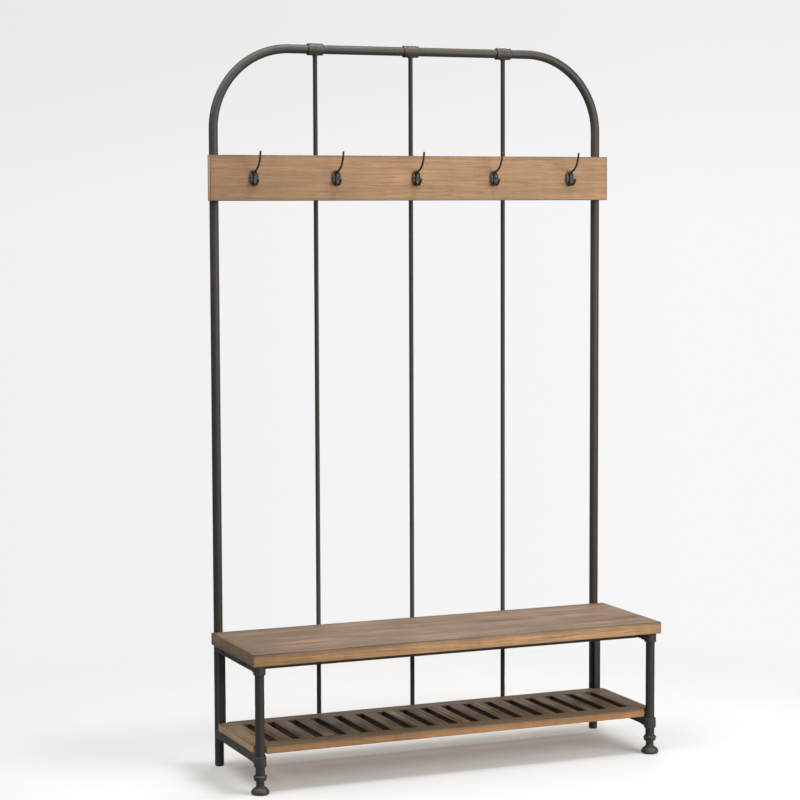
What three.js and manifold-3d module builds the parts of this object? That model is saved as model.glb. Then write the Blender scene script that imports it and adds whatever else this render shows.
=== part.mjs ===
// Entryway bench with a tall hook rack: a bent tube hoop stands behind a plank seat and a slatted
// shoe shelf, two pipe legs carry the front, and three rods and a hook board fill the hoop.
// Millimetres. +X is to the right of someone facing the bench, +Y is towards its back, +Z is up.
// The origin is on the floor, under the middle of the object's box.

import * as THREE from 'three';
import { mergeVertices } from 'three/addons/utils/BufferGeometryUtils.js';
import Module from 'manifold-3d';

const wasm = await Module();
wasm.setup();

// Clearance between neighbouring pieces, and how far a cutting shape runs past a face.
const GAP = 0.3;
const OVERSHOOT = 1;

// Round stock: one inch tube, half inch rod.
const TUBE_RADIUS = 12.7;
const TUBE_WALL = 1.7;
const TUBE_SIDES = 20;
const ROD_RADIUS = 6.35;
const BORE_RADIUS = TUBE_RADIUS + GAP;
const TURNED_SIDES = 24;
const ROD_SIDES = 16;
const BOLT_SIDES = 12;

// Hoop: centreline of the bent tube that frames the back.
const HOOP_X = 594;
const HOOP_Y = 180;
const HOOP_TOP = 2017;
const HOOP_BEND = 225;
const BEND_STEPS = 10;
const HOOP_BOTTOM = 11;
const PLUG_SPIGOT = 14;
const SPIGOT_RADIUS = TUBE_RADIUS - TUBE_WALL - 0.5;

// Rods of the back, and the sleeves that hold them on the top bar.
const ROD_SPACING = 291.7;
const SLEEVE_RADIUS = 17;
const SLEEVE_LENGTH = 46;

// Front legs and the castings on them.
const LEG_X = 595;
const LEG_Y = -172;
const LEG_BOTTOM = 45;
const FOOT_SPIGOT = 22;
const COLLAR_RADIUS = 17;
const COLLAR_CHAMFER = 2.5;
const COLLAR_TOP_CHAMFER = 0.8;
const UPPER_COLLAR_BOTTOM = 324.2;
const LOWER_COLLAR_BOTTOM = 74;
const LOWER_COLLAR_TOP = 104;
const BOSS_WIDTH = 28;
const BOSS_FLOOR = 1.5;
const BOSS_REACH = 26;
const SOCKET_DEPTH = 8;

// Seat board, and the rails under it.
const SEAT_WIDTH = 1238;
const SEAT_FRONT = -193.5;
const SEAT_BACK = 167;
const SEAT_BOTTOM = 351;
const SEAT_THICKNESS = 33.4;
const EASED_EDGE = 1.2;
const RAIL_X = 593.5;
const RAIL_WIDTH = 25;
const RAIL_WALL = 2;
const SEAT_RAIL_HEIGHT = 20;
const SEAT_RAIL_TOP = SEAT_BOTTOM - GAP;
const RAIL_BACK = HOOP_Y - 5;
const ANGLE_THICKNESS = 3;
const FRONT_ANGLE_Y = -128;
const REAR_ANGLE_Y = 165;
const FRONT_BOLT_Y = -83;
const REAR_BOLT_Y = 106;
const BOLT_MARGIN = 17;
const BOLT_RADIUS = 3;
const BOLT_HEAD_RADIUS = 6;
const BOLT_HEAD_HEIGHT = 4.2;

// Shoe shelf, and the rails under it.
const SHELF_RAIL_HEIGHT = 25;
const SHELF_RAIL_TOP = 107.7;
const CROSS_RAIL_SIZE = 25.4;
const SHELF_WIDTH = 1216;
const SHELF_FRONT = -172.4;
const SHELF_BACK = 155.5;
const SHELF_THICKNESS = 21;
const SHELF_MIDDLE = SHELF_RAIL_TOP + GAP + SHELF_THICKNESS / 2;
const SLOT_FRONT = -117;
const SLOT_BACK = 103;
const SLOT_PITCH = 67.2;
const SLOT_WIDTH = 23.5;
const SLAT_COUNT = 16;
const TENON_LENGTH = 9.5;
const TENON_HEIGHT = 6;
const TENON_SHOULDER = 4;
const FRONT_NOTCH = { inside: 576, edge: -156.5 };
const REAR_NOTCH = { inside: 578, edge: 143.5 };

// Rear angle posts between the shelf rails and the seat rails.
const POST_CORNER_X = 602.5;
const POST_FRONT = 150;
const POST_WIDTH = 19;
const POST_DEPTH = 18;

// Hook board and its five cast hooks.
const BOARD_WIDTH = 1232;
const BOARD_HEIGHT = 127;
const BOARD_THICKNESS = 24;
const BOARD_BOTTOM = 1593;
const BOARD_BACK = 167;
const BOARD_FRONT = BOARD_BACK - BOARD_THICKNESS;
const HOOK_SPACING = 245;
const HOOK_HEIGHT = 1657;
const PLATE_WIDTH = 24;
const PLATE_HEIGHT = 45;
const PLATE_THICKNESS = 4;
const HAT_PRONG_RADIUS = 3;
const COAT_PRONG_RADIUS = 3.4;
const TIP_SWELL = 0.4;
const HOOK_COUNT = 5;

const FINISHES = {
  steel: { color: 0x3c3935, roughness: 0.55, metalness: 0.6 },
  castIron: { color: 0x343230, roughness: 0.7, metalness: 0.5 },
  seatWood: { color: 0x9b8675, roughness: 0.6, metalness: 0 },
  shelfWood: { color: 0x7d6c5e, roughness: 0.65, metalness: 0 },
  boardWood: { color: 0xb58c66, roughness: 0.6, metalness: 0 },
};

const SIDES = [['left', -1], ['right', 1]];

const bench = new THREE.Group();

function add(name, geometry, finish, x = 0, y = 0, z = 0) {
  const mesh = new THREE.Mesh(geometry, new THREE.MeshStandardMaterial(FINISHES[finish]));
  mesh.name = name;
  mesh.position.set(x, y, z);
  bench.add(mesh);
}

// A closed geometry as a solid that can be joined and cut.
function solid(geometry) {
  const bare = new THREE.BufferGeometry();
  bare.setAttribute('position', geometry.getAttribute('position'));
  bare.setIndex(geometry.index);
  const merged = mergeVertices(bare);
  const corners = merged.index.array;
  const kept = [];
  for (let i = 0; i < corners.length; i += 3) {
    const [a, b, c] = corners.subarray(i, i + 3);
    if (a !== b && b !== c && c !== a) {
      kept.push(a, b, c);
    }
  }
  return new wasm.Manifold(new wasm.Mesh({
    numProp: 3,
    vertProperties: merged.getAttribute('position').array,
    triVerts: new Uint32Array(kept),
  }));
}

function geometryOf(manifold) {
  const mesh = manifold.getMesh();
  const geometry = new THREE.BufferGeometry();
  geometry.setAttribute('position', new THREE.BufferAttribute(mesh.vertProperties, 3));
  geometry.setIndex(new THREE.BufferAttribute(mesh.triVerts, 1));
  return geometry;
}

// A box given by its two corners.
function boxSolid([x0, y0, z0], [x1, y1, z1]) {
  const box = new THREE.BoxGeometry(x1 - x0, y1 - y0, z1 - z0);
  return solid(box.translate((x0 + x1) / 2, (y0 + y1) / 2, (z0 + z1) / 2));
}

// An upright round bar centred on (x, y).
function uprightBar(radius, bottom, top, sides, x = 0, y = 0) {
  const bar = new THREE.CylinderGeometry(radius, radius, top - bottom, sides);
  return bar.rotateX(Math.PI / 2).translate(x, y, (bottom + top) / 2);
}

// A round bar along X, centred on (y, z).
function crossBar(radius, length, x, y, z) {
  const bar = new THREE.CylinderGeometry(radius, radius, length, BOLT_SIDES);
  return bar.rotateZ(Math.PI / 2).translate(x, y, z);
}

// A shape turned about +Z, from [radius, height] pairs that run up the outside.
function turned(profile, sides = TURNED_SIDES) {
  const outline = profile.map(([radius, height]) => new THREE.Vector2(radius, height));
  return new THREE.LatheGeometry(outline, sides).rotateX(Math.PI / 2);
}

function polygon(points) {
  return new THREE.Shape(points.map(([x, y]) => new THREE.Vector2(x, y)));
}

function rectangle(width, height) {
  const [w, h] = [width / 2, height / 2];
  return polygon([[-w, -h], [w, -h], [w, h], [-w, h]]);
}

function circle(radius, sides) {
  const corners = Array.from({ length: sides }, (_, i) => {
    const angle = (2 * Math.PI * i) / sides;
    return [radius * Math.cos(angle), radius * Math.sin(angle)];
  });
  return polygon(corners);
}

function hollow(outer, inner) {
  outer.holes.push(inner);
  return outer;
}

function roundTube() {
  return hollow(circle(TUBE_RADIUS, TUBE_SIDES), circle(TUBE_RADIUS - TUBE_WALL, TUBE_SIDES));
}

function squareTube(width, height) {
  return hollow(rectangle(width, height), rectangle(width - 2 * RAIL_WALL, height - 2 * RAIL_WALL));
}

function extrude(shape, depth) {
  return new THREE.ExtrudeGeometry(shape, { depth, bevelEnabled: false });
}

// The section's x and y become Y and Z, and it runs along +X, centred.
function alongX(shape, length) {
  return extrude(shape, length).rotateX(Math.PI / 2).rotateZ(Math.PI / 2).translate(-length / 2, 0, 0);
}

// The section's x and y become X and Z, and it runs from `back` towards the front.
function alongY(shape, length, back) {
  return extrude(shape, length).rotateX(Math.PI / 2).translate(0, back, 0);
}

// A board with its edges eased, centred, `thickness` along Z.
function easedBoard(width, depth, thickness) {
  const ease = EASED_EDGE;
  const board = new THREE.ExtrudeGeometry(rectangle(width - 2 * ease, depth - 2 * ease), {
    depth: thickness - 2 * ease,
    bevelSize: ease,
    bevelThickness: ease,
    bevelSegments: 1,
  });
  return board.translate(0, 0, ease - thickness / 2);
}

// The hoop's centreline: up, over two bends, and down, with one step for each straight run.
class HoopPath extends THREE.Curve {
  constructor() {
    super();
    this.points = [new THREE.Vector3(-HOOP_X, 0, HOOP_BOTTOM)];
    this.tangents = [new THREE.Vector3(0, 0, 1)];
    this.addBend(-1, Math.PI);
    this.addBend(1, Math.PI / 2);
    this.points.push(new THREE.Vector3(HOOP_X, 0, HOOP_BOTTOM));
    this.tangents.push(new THREE.Vector3(0, 0, -1));
  }

  addBend(sign, startAngle) {
    const centreX = sign * (HOOP_X - HOOP_BEND);
    const centreZ = HOOP_TOP - HOOP_BEND;
    for (let i = 0; i <= BEND_STEPS; i += 1) {
      const angle = startAngle - (Math.PI / 2) * (i / BEND_STEPS);
      const [c, s] = [Math.cos(angle), Math.sin(angle)];
      this.points.push(new THREE.Vector3(centreX + HOOP_BEND * c, 0, centreZ + HOOP_BEND * s));
      this.tangents.push(new THREE.Vector3(s, 0, -c));
    }
  }

  stepAt(u) {
    return Math.round(u * (this.points.length - 1));
  }

  getPointAt(u) {
    return this.points[this.stepAt(u)].clone();
  }

  getTangentAt(u) {
    return this.tangents[this.stepAt(u)].clone();
  }
}

function addHoop() {
  const path = new HoopPath();
  const steps = path.points.length - 1;
  const tube = new THREE.ExtrudeGeometry(roundTube(), { steps, extrudePath: path });
  add('hoop_tube', tube, 'steel', 0, HOOP_Y, 0);
  const plugTop = HOOP_BOTTOM - GAP;
  for (const [side, sign] of SIDES) {
    const plug = turned([
      [0, 0],
      [TUBE_RADIUS - 2.2, 0],
      [TUBE_RADIUS, 3],
      [TUBE_RADIUS, plugTop],
      [SPIGOT_RADIUS, plugTop],
      [SPIGOT_RADIUS, plugTop + PLUG_SPIGOT],
      [0, plugTop + PLUG_SPIGOT],
    ]);
    add(`rear_foot_plug_${side}`, plug, 'castIron', sign * HOOP_X, HOOP_Y, 0);
  }
}

// A sleeve round the top bar with a hole for the rod in its underside.
function sleeve() {
  const [half, ease] = [SLEEVE_LENGTH / 2, EASED_EDGE];
  const ring = turned([
    [SLEEVE_RADIUS - ease, -half],
    [SLEEVE_RADIUS, ease - half],
    [SLEEVE_RADIUS, half - ease],
    [SLEEVE_RADIUS - ease, half],
    [BORE_RADIUS, half],
    [BORE_RADIUS, -half],
    [SLEEVE_RADIUS - ease, -half],
  ]);
  const rodHole = uprightBar(ROD_RADIUS + GAP, -2 * SLEEVE_RADIUS, 0, ROD_SIDES);
  return geometryOf(solid(ring.rotateY(Math.PI / 2)).subtract(solid(rodHole)));
}

function addRods() {
  const bottom = SHELF_RAIL_TOP - CROSS_RAIL_SIZE + RAIL_WALL + GAP;
  const top = HOOP_TOP - BORE_RADIUS;
  const places = [['left', -ROD_SPACING], ['middle', 0], ['right', ROD_SPACING]];
  for (const [place, x] of places) {
    add(`back_rod_${place}`, uprightBar(ROD_RADIUS, bottom, top, ROD_SIDES), 'steel', x, HOOP_Y);
    add(`rod_sleeve_${place}`, sleeve(), 'steel', x, HOOP_Y, HOOP_TOP);
  }
}

function addShelfCrossRail() {
  const halfLength = RAIL_X - RAIL_WIDTH / 2 - GAP;
  const middle = SHELF_RAIL_TOP - CROSS_RAIL_SIZE / 2;
  let rail = solid(alongX(squareTube(CROSS_RAIL_SIZE, CROSS_RAIL_SIZE), 2 * halfLength));
  for (const x of [-ROD_SPACING, 0, ROD_SPACING]) {
    rail = rail.subtract(solid(uprightBar(ROD_RADIUS + GAP, 0, CROSS_RAIL_SIZE, ROD_SIDES, x)));
  }
  add('shelf_rail_rear', geometryOf(rail), 'steel', 0, HOOP_Y, middle);
}

// A side rail runs from its socket in the leg's boss to a coped end at the hoop's tube.
function sideRail(sign, height) {
  const front = LEG_Y + BOSS_REACH - SOCKET_DEPTH;
  const rail = solid(alongY(squareTube(RAIL_WIDTH, height), RAIL_BACK - front, RAIL_BACK));
  const hoopX = sign * (HOOP_X - RAIL_X);
  return rail.subtract(solid(uprightBar(BORE_RADIUS, -height, height, TURNED_SIDES, hoopX, HOOP_Y)));
}

function addSideRails() {
  for (const [side, sign] of SIDES) {
    let seatRail = sideRail(sign, SEAT_RAIL_HEIGHT);
    for (const y of [FRONT_BOLT_Y, REAR_BOLT_Y]) {
      seatRail = seatRail.subtract(solid(crossBar(BOLT_RADIUS + GAP, 2 * RAIL_WIDTH, 0, y, 0)));
    }
    const seatRailMiddle = SEAT_RAIL_TOP - SEAT_RAIL_HEIGHT / 2;
    add(`seat_rail_${side}`, geometryOf(seatRail), 'steel', sign * RAIL_X, 0, seatRailMiddle);
    const shelfRail = geometryOf(sideRail(sign, SHELF_RAIL_HEIGHT));
    const shelfRailMiddle = SHELF_RAIL_TOP - SHELF_RAIL_HEIGHT / 2;
    add(`shelf_rail_${side}`, shelfRail, 'steel', sign * RAIL_X, 0, shelfRailMiddle);
  }
}

// An angle across the bench, with a plate at each end that bolts to the side rail.
// `inwards` is +1 where the angle's flange points to the back, and -1 to the front.
function seatAngle(faceY, boltY, inwards) {
  const size = SEAT_RAIL_HEIGHT;
  const halfLength = RAIL_X - RAIL_WIDTH / 2 - GAP;
  const section = polygon([
    [0, 0],
    [inwards * ANGLE_THICKNESS, 0],
    [inwards * ANGLE_THICKNESS, size - ANGLE_THICKNESS],
    [inwards * size, size - ANGLE_THICKNESS],
    [inwards * size, size],
    [0, size],
  ]);
  let angle = solid(alongX(section, 2 * halfLength).translate(0, faceY, 0));
  const plateEnds = [faceY, boltY + inwards * BOLT_MARGIN].sort((a, b) => a - b);
  for (const [, sign] of SIDES) {
    const plateX = [sign * halfLength, sign * (halfLength - ANGLE_THICKNESS)].sort((a, b) => a - b);
    const plate = boxSolid([plateX[0], plateEnds[0], 0], [plateX[1], plateEnds[1], size]);
    const hole = crossBar(BOLT_RADIUS + GAP, 4 * ANGLE_THICKNESS, sign * halfLength, boltY, size / 2);
    angle = angle.add(plate).subtract(solid(hole));
  }
  return geometryOf(angle);
}

function addSeatAngles() {
  const bottom = SEAT_RAIL_TOP - SEAT_RAIL_HEIGHT;
  add('seat_rail_front', seatAngle(FRONT_ANGLE_Y, FRONT_BOLT_Y, 1), 'steel', 0, 0, bottom);
  add('seat_rail_rear', seatAngle(REAR_ANGLE_Y, REAR_BOLT_Y, -1), 'steel', 0, 0, bottom);
}

// A dome headed bolt along X, its shank pointing inwards through the rail and the end plate.
function addRailBolts() {
  const shankLength = RAIL_WIDTH + ANGLE_THICKNESS + 2;
  const [radius, headRadius, height] = [BOLT_RADIUS, BOLT_HEAD_RADIUS, BOLT_HEAD_HEIGHT];
  for (const [side, sign] of SIDES) {
    for (const [place, y] of [['front', FRONT_BOLT_Y], ['rear', REAR_BOLT_Y]]) {
      const bolt = turned([
        [0, -shankLength],
        [radius, -shankLength],
        [radius, 0],
        [headRadius, 0],
        [headRadius, 0.25 * height],
        [0.84 * headRadius, 0.66 * height],
        [0.48 * headRadius, 0.92 * height],
        [0, height],
      ], BOLT_SIDES);
      const x = sign * (RAIL_X + RAIL_WIDTH / 2 + GAP);
      const z = SEAT_RAIL_TOP - SEAT_RAIL_HEIGHT / 2;
      add(`rail_bolt_${place}_${side}`, bolt.rotateY((sign * Math.PI) / 2), 'steel', x, y, z);
    }
  }
}

// A clamp collar on a leg, with a boss behind it that cradles the end of a side rail.
function legCollar(sign, bottom, top, railTop, railHeight) {
  const radius = COLLAR_RADIUS;
  const bossX = sign * (RAIL_X - LEG_X);
  const railBottom = railTop - railHeight;
  const body = turned([
    [0, bottom],
    [radius - COLLAR_CHAMFER, bottom],
    [radius, bottom + COLLAR_CHAMFER],
    [radius, top - COLLAR_TOP_CHAMFER],
    [radius - COLLAR_TOP_CHAMFER, top],
    [0, top],
  ]);
  const boss = boxSolid(
    [bossX - BOSS_WIDTH / 2, 0, railBottom - BOSS_FLOOR],
    [bossX + BOSS_WIDTH / 2, BOSS_REACH, railTop],
  );
  const socket = boxSolid(
    [bossX - RAIL_WIDTH / 2 - GAP, BOSS_REACH - SOCKET_DEPTH - GAP, railBottom - GAP],
    [bossX + RAIL_WIDTH / 2 + GAP, BOSS_REACH + OVERSHOOT, railTop + OVERSHOOT],
  );
  const bore = solid(uprightBar(BORE_RADIUS, bottom - OVERSHOOT, railTop + OVERSHOOT, TURNED_SIDES));
  return geometryOf(solid(body).add(boss).subtract(socket).subtract(bore));
}

// The ring that couples the foot to the leg: a wide bead over a narrow one.
function coupling() {
  const [bottom, top] = [37.6, 53];
  return turned([
    [BORE_RADIUS + 2.2, bottom],
    [16.8, bottom + 1.2],
    [16.9, bottom + 4.2],
    [16.1, bottom + 5.6],
    [18.4, bottom + 7.6],
    [18.4, top - 3.8],
    [BORE_RADIUS + 1.6, top],
    [BORE_RADIUS, top],
    [BORE_RADIUS, bottom],
    [BORE_RADIUS + 2.2, bottom],
  ]);
}

// A cast foot: a bulb on a flat sole, a waisted neck, and a spigot that enters the leg tube.
function foot() {
  const neckTop = LEG_BOTTOM - GAP;
  return turned([
    [0, 0],
    [18, 0],
    [22.8, 1.7],
    [24.9, 4.4],
    [25, 6.6],
    [24.3, 9.4],
    [22.6, 12.2],
    [21, 14.8],
    [17.4, 17.4],
    [13.6, 19.8],
    [11.8, 22.6],
    [11.2, 26],
    [11.2, 33],
    [12, 36.5],
    [12, neckTop],
    [SPIGOT_RADIUS, neckTop],
    [SPIGOT_RADIUS, neckTop + FOOT_SPIGOT],
    [0, neckTop + FOOT_SPIGOT],
  ]);
}

function addFrontLegs() {
  const tubeLength = SEAT_BOTTOM - 2 * GAP - LEG_BOTTOM;
  for (const [side, sign] of SIDES) {
    const x = sign * LEG_X;
    const upper = legCollar(
      sign, UPPER_COLLAR_BOTTOM, SEAT_RAIL_TOP, SEAT_RAIL_TOP, SEAT_RAIL_HEIGHT,
    );
    const lower = legCollar(
      sign, LOWER_COLLAR_BOTTOM, LOWER_COLLAR_TOP, SHELF_RAIL_TOP, SHELF_RAIL_HEIGHT,
    );
    add(`front_leg_${side}`, extrude(roundTube(), tubeLength), 'steel', x, LEG_Y, LEG_BOTTOM);
    add(`leg_collar_upper_${side}`, upper, 'castIron', x, LEG_Y, 0);
    add(`leg_collar_lower_${side}`, lower, 'castIron', x, LEG_Y, 0);
    add(`leg_coupling_${side}`, coupling(), 'castIron', x, LEG_Y, 0);
    add(`front_foot_${side}`, foot(), 'castIron', x, LEG_Y, 0);
  }
}

function addSeat() {
  const board = easedBoard(SEAT_WIDTH, SEAT_BACK - SEAT_FRONT, SEAT_THICKNESS);
  const [y, z] = [(SEAT_BACK + SEAT_FRONT) / 2, SEAT_BOTTOM + SEAT_THICKNESS / 2];
  add('seat_board', board, 'seatWood', 0, y, z);
}

// Slats sit between neighbouring slots, and an end board closes each end of the row.
function slatPlaces() {
  const firstSlot = (-SLAT_COUNT / 2) * SLOT_PITCH;
  const endInside = -firstSlot + SLOT_WIDTH / 2;
  const endWidth = SHELF_WIDTH / 2 - endInside;
  const slats = Array.from({ length: SLAT_COUNT }, (_, i) => ({
    name: `shelf_slat_${i + 1}`,
    x: firstSlot + (i + 0.5) * SLOT_PITCH,
    width: SLOT_PITCH - SLOT_WIDTH,
  }));
  const ends = SIDES.map(([side, sign]) => ({
    name: `shelf_end_${side}`,
    x: sign * (endInside + endWidth / 2),
    width: endWidth,
  }));
  return [...slats, ...ends];
}

// A slat along Y, with a stub tenon on each end, centred on z = 0.
function slat(width) {
  const [half, tall] = [width / 2, SHELF_THICKNESS / 2];
  const tenon = [half - TENON_SHOULDER, TENON_HEIGHT / 2];
  const body = boxSolid([-half, SLOT_FRONT + GAP, -tall], [half, SLOT_BACK - GAP, tall]);
  const tongue = boxSolid(
    [-tenon[0], SLOT_FRONT - TENON_LENGTH, -tenon[1]],
    [tenon[0], SLOT_BACK + TENON_LENGTH, tenon[1]],
  );
  return geometryOf(body.add(tongue));
}

// A stile along X with a mortise for every slat, and a notch at each end for a leg or a post.
function stile(front, back, inwardEdge, notch) {
  const [half, tall] = [SHELF_WIDTH / 2, SHELF_THICKNESS / 2];
  const depth = TENON_LENGTH + GAP;
  let board = boxSolid([-half, front, -tall], [half, back, tall]);
  for (const { x, width } of slatPlaces()) {
    const reach = width / 2 - TENON_SHOULDER + GAP;
    const rise = TENON_HEIGHT / 2 + GAP;
    board = board.subtract(boxSolid(
      [x - reach, inwardEdge - depth, -rise],
      [x + reach, inwardEdge + depth, rise],
    ));
  }
  const outwards = Math.sign(notch.edge);
  const notchEnds = [notch.edge, outwards * SHELF_WIDTH].sort((a, b) => a - b);
  for (const [, sign] of SIDES) {
    const notchX = [sign * notch.inside, sign * SHELF_WIDTH].sort((a, b) => a - b);
    board = board.subtract(boxSolid(
      [notchX[0], notchEnds[0], -SHELF_THICKNESS],
      [notchX[1], notchEnds[1], SHELF_THICKNESS],
    ));
  }
  return geometryOf(board);
}

function addShelf() {
  const front = stile(SHELF_FRONT, SLOT_FRONT, SLOT_FRONT, FRONT_NOTCH);
  const rear = stile(SLOT_BACK, SHELF_BACK, SLOT_BACK, REAR_NOTCH);
  add('shelf_stile_front', front, 'shelfWood', 0, 0, SHELF_MIDDLE);
  add('shelf_stile_rear', rear, 'shelfWood', 0, 0, SHELF_MIDDLE);
  for (const { name, x, width } of slatPlaces()) {
    add(name, slat(width), 'shelfWood', x, 0, SHELF_MIDDLE);
  }
}

function addRearPosts() {
  const bottom = SHELF_RAIL_TOP + GAP;
  const top = SEAT_RAIL_TOP - SEAT_RAIL_HEIGHT - GAP;
  for (const [side, sign] of SIDES) {
    const section = polygon([
      [0, 0],
      [0, POST_DEPTH],
      [-sign * ANGLE_THICKNESS, POST_DEPTH],
      [-sign * ANGLE_THICKNESS, ANGLE_THICKNESS],
      [-sign * POST_WIDTH, ANGLE_THICKNESS],
      [-sign * POST_WIDTH, 0],
    ]);
    const post = extrude(section, top - bottom);
    add(`rear_post_${side}`, post, 'steel', sign * POST_CORNER_X, POST_FRONT, bottom);
  }
}

// A prong along a curve of [reach from the board, height] points, with a ball at its tip.
function prong(points, radius) {
  const path = new THREE.CatmullRomCurve3(points.map(([reach, z]) => new THREE.Vector3(0, -reach, z)));
  const arm = new THREE.ExtrudeGeometry(circle(radius, 8), { steps: 8, extrudePath: path });
  const [tipReach, tipZ] = points.at(-1);
  const ball = new THREE.SphereGeometry(radius + TIP_SWELL, 8, 6).translate(0, -tipReach, tipZ);
  return solid(arm).add(solid(ball));
}

// A cast hook: an oval plate, a long prong rising from its top, and a short one from its rib.
function coatHook() {
  const oval = circle(1, 20);
  const plate = extrude(oval, PLATE_THICKNESS).scale(PLATE_WIDTH / 2, PLATE_HEIGHT / 2, 1);
  const hatCurve = [[3, 14], [14, 18], [30, 24], [42, 32], [51, 44], [57, 57], [60, 70.5]];
  const coatCurve = [[4.5, 12], [6, -4], [10.5, -15], [20, -19.5], [31, -15.5], [38, -4.5]];
  const hatProng = prong(hatCurve, HAT_PRONG_RADIUS);
  const coatProng = prong(coatCurve, COAT_PRONG_RADIUS);
  return geometryOf(solid(plate.rotateX(Math.PI / 2)).add(hatProng).add(coatProng));
}

function addHookBoard() {
  const board = easedBoard(BOARD_WIDTH, BOARD_HEIGHT, BOARD_THICKNESS).rotateX(Math.PI / 2);
  const [y, z] = [BOARD_BACK - BOARD_THICKNESS / 2, BOARD_BOTTOM + BOARD_HEIGHT / 2];
  add('hook_board', board, 'boardWood', 0, y, z);
  for (let i = 0; i < HOOK_COUNT; i += 1) {
    const x = (i - (HOOK_COUNT - 1) / 2) * HOOK_SPACING;
    add(`coat_hook_${i + 1}`, coatHook(), 'castIron', x, BOARD_FRONT - GAP, HOOK_HEIGHT);
  }
}

addHoop();
addRods();
addHookBoard();
addSeat();
addSeatAngles();
addSideRails();
addRailBolts();
addRearPosts();
addShelfCrossRail();
addShelf();
addFrontLegs();

export default bench;
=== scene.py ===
"""Looks of the entryway bench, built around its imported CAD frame. Metres, in the frame's own axes."""

import math

import bmesh
import bpy
from mathutils import Matrix, Vector, noise


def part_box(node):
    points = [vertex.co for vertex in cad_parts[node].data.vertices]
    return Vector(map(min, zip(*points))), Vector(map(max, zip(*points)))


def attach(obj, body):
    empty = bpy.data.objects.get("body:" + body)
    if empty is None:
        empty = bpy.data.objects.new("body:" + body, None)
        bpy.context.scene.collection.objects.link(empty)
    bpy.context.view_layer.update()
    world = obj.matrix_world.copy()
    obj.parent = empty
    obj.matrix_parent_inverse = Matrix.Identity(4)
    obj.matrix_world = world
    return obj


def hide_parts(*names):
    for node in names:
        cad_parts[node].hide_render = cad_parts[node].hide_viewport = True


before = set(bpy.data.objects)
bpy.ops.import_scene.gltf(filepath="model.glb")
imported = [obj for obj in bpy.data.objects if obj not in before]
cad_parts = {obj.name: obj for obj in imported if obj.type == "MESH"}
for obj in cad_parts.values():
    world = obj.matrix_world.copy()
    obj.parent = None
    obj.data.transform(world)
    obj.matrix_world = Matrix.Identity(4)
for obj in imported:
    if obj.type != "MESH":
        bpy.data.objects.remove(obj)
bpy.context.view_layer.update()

MM = 0.001
SIDES = (("left", -1), ("right", 1))
RODS = ("left", "middle", "right")
ROUND = 40  # sides of a round bar or tube


# ---------------------------------------------------------------------------------------------
# Shader nodes
# ---------------------------------------------------------------------------------------------

def node(tree, kind, inputs=None, **settings):
    """A new node. inputs maps a socket's name or number to a value or to another socket."""
    made = tree.nodes.new("ShaderNode" + kind)
    for key, value in settings.items():
        setattr(made, key, value)
    for key, value in (inputs or {}).items():
        if isinstance(value, bpy.types.NodeSocket):
            tree.links.new(value, made.inputs[key])
        else:
            made.inputs[key].default_value = value
    return made


def maths(tree, operation, first, second=0.0, clamp=False):
    made = node(tree, "Math", {0: first, 1: second}, operation=operation, use_clamp=clamp)
    return made.outputs[0]


def ramp(tree, factor, stops):
    """A colour ramp. stops are (position, colour) pairs, with colours as three linear numbers."""
    made = node(tree, "ValToRGB", {"Fac": factor})
    elements = made.color_ramp.elements
    while len(elements) < len(stops):
        elements.new(0.5)
    for element, (position, colour) in zip(elements, stops):
        element.position = position
        element.color = (*colour, 1.0)
    return made.outputs["Color"]


def mix(tree, factor, first, second, blend="MIX"):
    made = node(tree, "Mix", {"Factor": factor}, data_type="RGBA", blend_type=blend)
    for socket, value in ((made.inputs[6], first), (made.inputs[7], second)):
        if isinstance(value, bpy.types.NodeSocket):
            tree.links.new(value, socket)
        else:
            socket.default_value = (*value, 1.0)
    return made.outputs[2]


def grey(tree, value):
    """The same number in all three channels."""
    return node(tree, "CombineColor", {0: value, 1: value, 2: value}).outputs[0]


def stretched_noise(tree, coordinates, scale, offset=(0, 0, 0), **inputs):
    """Noise on coordinates that are scaled by a different amount along each axis."""
    place = node(tree, "Mapping", {"Vector": coordinates, "Scale": scale, "Location": offset})
    made = node(tree, "TexNoise", {"Vector": place.outputs[0], "Scale": 1.0, **inputs})
    return made.outputs["Fac"]


def new_material(name):
    material = bpy.data.materials.new(name)
    material.use_nodes = True
    tree = material.node_tree
    tree.nodes.clear()
    shader = node(tree, "BsdfPrincipled")
    output = node(tree, "OutputMaterial")
    tree.links.new(shader.outputs[0], output.inputs["Surface"])
    return material, tree, shader


def own_coordinates(tree):
    """A piece's own coordinates in metres, moved by a different amount for each piece."""
    here = node(tree, "TexCoord").outputs["Object"]
    chance = node(tree, "ObjectInfo").outputs["Random"]
    shift = node(tree, "CombineXYZ", {0: maths(tree, "MULTIPLY", chance, 37.0), 1: chance, 2: chance})
    return here, node(tree, "VectorMath", {0: here, 1: shift.outputs[0]}, operation="ADD").outputs[0]


def set_roughness(tree, shader, pattern, span):
    """Roughness that follows a pattern between two values."""
    rough = node(tree, "MapRange", {0: pattern, 1: 0.3, 2: 0.7, 3: span[0], 4: span[1]})
    tree.links.new(rough.outputs[0], shader.inputs["Roughness"])


def add_bump(tree, shader, height, distance):
    bump = node(tree, "Bump", {"Height": height, "Strength": 1.0, "Distance": distance})
    tree.links.new(bump.outputs[0], shader.inputs["Normal"])


# ---------------------------------------------------------------------------------------------
# Materials
# ---------------------------------------------------------------------------------------------

WARM_REFLECTION = (1.0, 0.93, 0.88, 1.0)


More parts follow.
